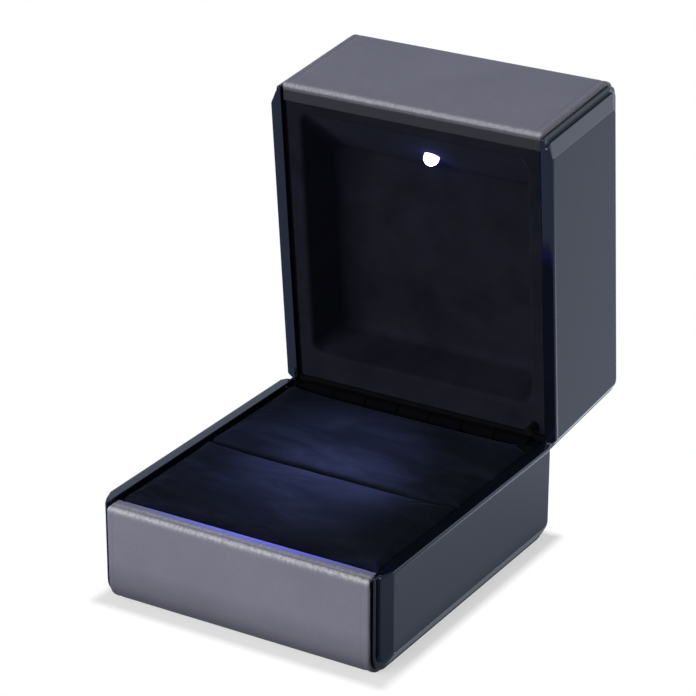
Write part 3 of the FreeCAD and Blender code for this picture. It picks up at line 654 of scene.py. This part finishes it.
PAD_LOW, PAD_HALF, PAD_PRESS = 8.0, 26.8, 0.6
PAD_EDGE = Vector((0.5, 0.4, 0.7))
PAD_CELLS = (48, 28, 10)
PAD_CROWN, CROWN_POWER, CROWN_FADE, WALL_POWER = 0.35, 0.7, 4, 4
CORE_RIM, PAD_LAP = 19.72, 27.4
SLIT_TOP, LEFT_TOP, RIGHT_TOP = 19.6, 20.1, 19.85
NOTCH_X, NOTCH_Y = 23.3, 26.1
SIM_SCALE, SIM_FRAMES = 10.0, 20
VOXEL, HELD_HEIGHT = 0.006, 0.03
PRESSURE, SWELL_CAP = 4.0, 0.5


def pad_block(y_low, y_high, slit_high, outer_top):
    """Crowned block with rounded upper edges, in millimetres, as a bmesh."""
    half_length = PAD_HALF + PAD_PRESS
    low, high = Vector((-half_length, y_low, PAD_LOW)), Vector((half_length, y_high, outer_top))
    made = bmesh.new()
    known = {}

    def corner(i, j, k):
        if (i, j, k) not in known:
            known[i, j, k] = made.verts.new((
                low.x + (high.x - low.x) * i / PAD_CELLS[0],
                low.y + (high.y - low.y) * j / PAD_CELLS[1],
                low.z + (high.z - low.z) * k / PAD_CELLS[2],
            ))
        return known[i, j, k]

    for axis in range(3):
        a, b = [n for n in range(3) if n != axis]
        for level in (0, PAD_CELLS[axis]):
            for u in range(PAD_CELLS[a]):
                for v in range(PAD_CELLS[b]):
                    ring = []
                    for du, dv in ((0, 0), (1, 0), (1, 1), (0, 1)):
                        at = [0, 0, 0]
                        at[axis], at[a], at[b] = level, u + du, v + dv
                        ring.append(corner(*at))
                    made.faces.new(ring)
    for vert in made.verts:
        p = vert.co.copy()
        inner = Vector((
            min(max(p.x, low.x + PAD_EDGE.x), high.x - PAD_EDGE.x),
            min(max(p.y, low.y + PAD_EDGE.y), high.y - PAD_EDGE.y),
            min(p.z, high.z - PAD_EDGE.z),
        ))
        out = Vector((c / e for c, e in zip(p - inner, PAD_EDGE)))
        if out.length > 1e-6:
            p = inner + out.normalized() * PAD_EDGE
        u = (p.y - low.y) / (high.y - low.y)
        v = min(abs(p.x) / PAD_HALF, 1.0)
        across = u if slit_high else 1 - u
        rise = (p.z - low.z) / (high.z - low.z)
        crown = PAD_CROWN * max(4 * u * (1 - u), 0.0) ** CROWN_POWER * (1 - v ** CROWN_FADE)
        slope = (SLIT_TOP - outer_top) * across
        wall_top = LEFT_TOP if p.x < 0 else RIGHT_TOP
        p.z += rise * (crown + slope + (wall_top - outer_top - slope) * v ** WALL_POWER)
        vert.co = p
    bmesh.ops.recalc_face_normals(made, faces=made.faces[:])
    return made


def simulate(piece):
    """Swells a closed mesh with inner pressure, and leaves the result in the mesh."""
    bpy.context.view_layer.objects.active = piece
    piece.data.remesh_voxel_size = VOXEL
    bpy.ops.object.select_all(action="DESELECT")
    piece.select_set(True)
    bpy.ops.object.voxel_remesh()
    still = [v.co.copy() for v in piece.data.vertices]
    floor = min(p.z for p in still)
    pin = piece.vertex_groups.new(name="held")
    pin.add([i for i, p in enumerate(still) if p.z < floor + HELD_HEIGHT], 1.0, "REPLACE")
    cloth = piece.modifiers.new("cover", "CLOTH")
    cloth.settings.use_pressure = True
    cloth.settings.uniform_pressure_force = PRESSURE
    cloth.settings.effector_weights.gravity = 0.0
    cloth.settings.vertex_group_mass = "held"
    cloth.settings.quality = 5
    for step in range(1, SIM_FRAMES + 1):
        scene.frame_set(step)
    shown = piece.evaluated_get(bpy.context.evaluated_depsgraph_get())
    moved = [v.co.copy() for v in shown.to_mesh().vertices]
    shown.to_mesh_clear()
    piece.modifiers.remove(cloth)
    piece.vertex_groups.clear()
    scene.frame_set(1)
    cap = SWELL_CAP * MM * SIM_SCALE
    for vert, before, after in zip(piece.data.vertices, still, moved):
        shift = after - before
        if shift.length > cap:
            shift *= cap / shift.length
        vert.co = before + shift


def pad(name, y_low, y_high, slit_high, outer_top, notch):
    """Velvet pad that stays inside its space in the tray, with a notch for the striker where asked."""
    made = pad_block(y_low, y_high, slit_high, outer_top)
    for vert in made.verts:
        vert.co *= MM * SIM_SCALE
    mesh = bpy.data.meshes.new(name)
    made.to_mesh(mesh)
    made.free()
    piece = bpy.data.objects.new(name, mesh)
    scene.collection.objects.link(piece)
    simulate(piece)
    for vert in piece.data.vertices:
        p = vert.co / (MM * SIM_SCALE)
        reach = PAD_HALF if p.z < CORE_RIM else PAD_LAP
        p.x = min(max(p.x, -reach), reach)
        p.y = min(max(p.y, y_low), y_high)
        p.z = max(p.z, PAD_LOW)
        if notch and p.x > NOTCH_X and p.y > NOTCH_Y:
            if p.x - NOTCH_X < p.y - NOTCH_Y:
                p.x = NOTCH_X
            else:
                p.y = NOTCH_Y
        vert.co = p * MM
    piece.data.polygons.foreach_set("use_smooth", [True] * len(piece.data.polygons))
    piece.data.materials.clear()
    piece.data.materials.append(LOOKS["velvet_navy"])
    finer = piece.modifiers.new("finer", "SUBSURF")
    finer.levels = finer.render_levels = 1
    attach(piece, "base")
    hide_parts(name.replace("velvet", "ring"))


pad("velvet_pad_front", y_low=-29.0, y_high=-0.06, slit_high=True, outer_top=18.6, notch=False)
pad("velvet_pad_rear", y_low=0.06, y_high=29.4, slit_high=False, outer_top=19.6, notch=True)


# Light of the lamp

LAMP_SOFT, LAMP_AHEAD = 0.4, 0.6
BEAM, FRINGE = (0.54, 0.60, 1.0), (0.04, 0.07, 1.0)


def lamp_light(name, power, colour, aim, cone, width=1.0):
    """A beam from just in front of the lamp, riding with the lid. It can be wider along X.

    Glossy faces mirror the lamp's own glow, and not the beam's source.
    """
    data = bpy.data.lights.new(name, "SPOT")
    data.energy = power
    data.color = colour
    data.shadow_soft_size = LAMP_SOFT * MM
    data.spot_size = math.radians(cone)
    data.spot_blend = 1.0
    light = bpy.data.objects.new(name, data)
    scene.collection.objects.link(light)
    at = LAMP + LAMP_OUT * (LAMP_PROUD + LAMP_AHEAD)
    back = (at - aim).normalized()
    across = (Vector((1, 0, 0)) - back * back.x).normalized()
    turn = Matrix((across, back.cross(across), back)).transposed().to_4x4()
    light.matrix_world = Matrix.Translation(at * MM) @ turn @ Matrix.Diagonal((width, 1, 1, 1))
    light.visible_glossy = False
    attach(light, "lid")


lamp_light("lamp_beam", power=0.46, colour=BEAM, aim=Vector((0, -4.0, 20)), cone=26, width=1.5)
lamp_light("lamp_wide", power=0.18, colour=BEAM, aim=Vector((-5, 5.0, 20)), cone=52)
lamp_light("lamp_fringe", power=0.95, colour=FRINGE, aim=Vector((2, -29.0, 19.4)), cone=2.3, width=21.0)


# Floor, studio light and camera, in metres

WHITE, COOL_WHITE = (1.0, 1.0, 1.0), (0.75, 0.83, 1.0)
AMBIENT, AMBIENT_COLOUR = 0.15, (0.96, 0.97, 1.0)
FLOOR_HALF, FLOOR_PARTS, FLOOR_DROP = 3.0, 8, 0.0002
FLOOR_COLOUR, BOUNCE_COLOUR = (0.94, 0.94, 0.94), (0.15, 0.15, 0.16)
SHADOW_RUN, SHADOW_LEAST_WHITE = 0.002, 0.55
MIRROR_RUN = 0.03
AIM = Vector((0, 0, 0.03))


def floor():
    """White floor that keeps the box's shadow close to it, and is dim to other light than the camera's."""
    made = bmesh.new()
    bmesh.ops.create_grid(made, x_segments=FLOOR_PARTS, y_segments=FLOOR_PARTS, size=FLOOR_HALF)
    mesh = bpy.data.meshes.new("floor")
    made.to_mesh(mesh)
    made.free()
    plane = bpy.data.objects.new("floor", mesh)
    scene.collection.objects.link(plane)
    look = Look("floor_white", Roughness=0.9, Specular_IOR_Level=0.0, Base_Color=(*FLOOR_COLOUR, 1))

    def vector(operation, *inputs):
        return look.node("ShaderNodeVectorMath", dict(enumerate(inputs)), operation=operation).outputs

    def ranged(**limits):
        inputs = {"Value": far, **{key.replace("_", " "): limit for key, limit in limits.items()}}
        return look.node("ShaderNodeMapRange", inputs).outputs["Result"]

    def emission(colour):
        return look.node("ShaderNodeEmission", {"Color": (*colour, 1), "Strength": 1.0}).outputs["Emission"]

    def blend(factor, first, second):
        return look.node("ShaderNodeMixShader", {0: factor, 1: first, 2: second}).outputs["Shader"]

    beside = vector("SUBTRACT", vector("ABSOLUTE", look.place)["Vector"], (HALF_WIDTH * MM, BACK * MM, 1.0))
    far = vector("LENGTH", vector("MAXIMUM", beside["Vector"], (0, 0, 0))["Vector"])["Value"]
    fade = ranged(From_Max=SHADOW_RUN, To_Min=SHADOW_LEAST_WHITE)
    mirrored = look.ramp(ranged(From_Max=MIRROR_RUN), (0.0, 0.35), (0.07, 0.42), (0.2, 0.72), (1.0, 1.0))
    path = look.node("ShaderNodeLightPath").outputs
    bounce = look.node("ShaderNodeBsdfDiffuse", {"Color": (*BOUNCE_COLOUR, 1)}).outputs["BSDF"]
    shown = blend(fade, look.shader.outputs["BSDF"], emission(WHITE))
    reflected = blend(mirrored, bounce, emission(COOL_WHITE))
    both = blend(path["Is Glossy Ray"], blend(path["Is Camera Ray"], bounce, shown), reflected)
    both = blend(path["Is Transmission Ray"], both, shown)
    look.tree.links.new(both, look.tree.nodes["Material Output"].inputs["Surface"])
    mesh.materials.append(look.material)
    plane.location.z = -FLOOR_DROP


def sky():
    """Soft light from all round. The camera sees white, and glossy faces a cool white, in its place."""
    world = bpy.data.worlds.new("studio")
    world.use_nodes = True
    tree = world.node_tree
    path = tree.nodes.new("ShaderNodeLightPath").outputs

    def background(colour, strength):
        made = tree.nodes.new("ShaderNodeBackground")
        made.inputs["Color"].default_value = (*colour, 1)
        made.inputs["Strength"].default_value = strength
        return made.outputs["Background"]

    shown = background(AMBIENT_COLOUR, AMBIENT)
    seen = {"Is Glossy Ray": COOL_WHITE, "Is Transmission Ray": WHITE, "Is Camera Ray": WHITE}
    for kind, colour in seen.items():
        mixed = tree.nodes.new("ShaderNodeMixShader")
        tree.links.new(path[kind], mixed.inputs[0])
        tree.links.new(shown, mixed.inputs[1])
        tree.links.new(background(colour, 1.0), mixed.inputs[2])
        shown = mixed.outputs["Shader"]
    tree.links.new(shown, tree.nodes["World Output"].inputs["Surface"])
    scene.world = world


def softbox(name, at, size, power):
    """Rectangular studio lamp that faces the box."""
    data = bpy.data.lights.new(name, "AREA")
    data.shape = "RECTANGLE"
    data.size, data.size_y = size
    data.energy = power
    light = bpy.data.objects.new(name, data)
    scene.collection.objects.link(light)
    aim = AIM - Vector(at)
    light.matrix_world = Matrix.Translation(at) @ aim.to_track_quat("-Z", "Y").to_matrix().to_4x4()


floor()
sky()
softbox("key", at=(-0.25, -1.04, 0.47), size=(1.2, 0.5), power=11.3)
softbox("edge", at=(-0.54, -0.47, 0.91), size=(0.8, 0.8), power=0.2)
softbox("fill", at=(0.33, 0.55, 0.08), size=(1.2, 0.5), power=2.7)

# The photo's camera: picture sizes in pixels, the sensor in millimetres, angles in radians, place in metres
IMAGE, SENSOR, NEAREST = 696, 36.0, 0.01
FOCAL = 2974.5567
MIDDLE = (363.933, 354.880)
YAW, PITCH, ROLL = 0.5360772, 0.4165488, -0.0051680
STAND = Vector((0.2575031, -0.4220093, 0.2622754))


def photo_camera():
    """Camera fitted to the photo's outline, with its principal point off the middle."""
    data = bpy.data.cameras.new("photo")
    data.sensor_width = SENSOR
    data.lens = FOCAL / IMAGE * SENSOR
    data.shift_x = (IMAGE / 2 - MIDDLE[0]) / IMAGE
    data.shift_y = (MIDDLE[1] - IMAGE / 2) / IMAGE
    data.clip_start = NEAREST
    camera = bpy.data.objects.new("photo", data)
    scene.collection.objects.link(camera)
    right = Vector((math.cos(YAW), math.sin(YAW), 0))
    level = Vector((-math.sin(YAW), math.cos(YAW), 0))
    ahead = level * math.cos(PITCH) - Vector((0, 0, math.sin(PITCH)))
    down = ahead.cross(right)
    across = right * math.cos(ROLL) + down * math.sin(ROLL)
    below = -right * math.sin(ROLL) + down * math.cos(ROLL)
    turn = Matrix((across, -below, -ahead)).transposed().to_4x4()
    camera.matrix_world = Matrix.Translation(STAND) @ turn
    scene.camera = camera


photo_camera()
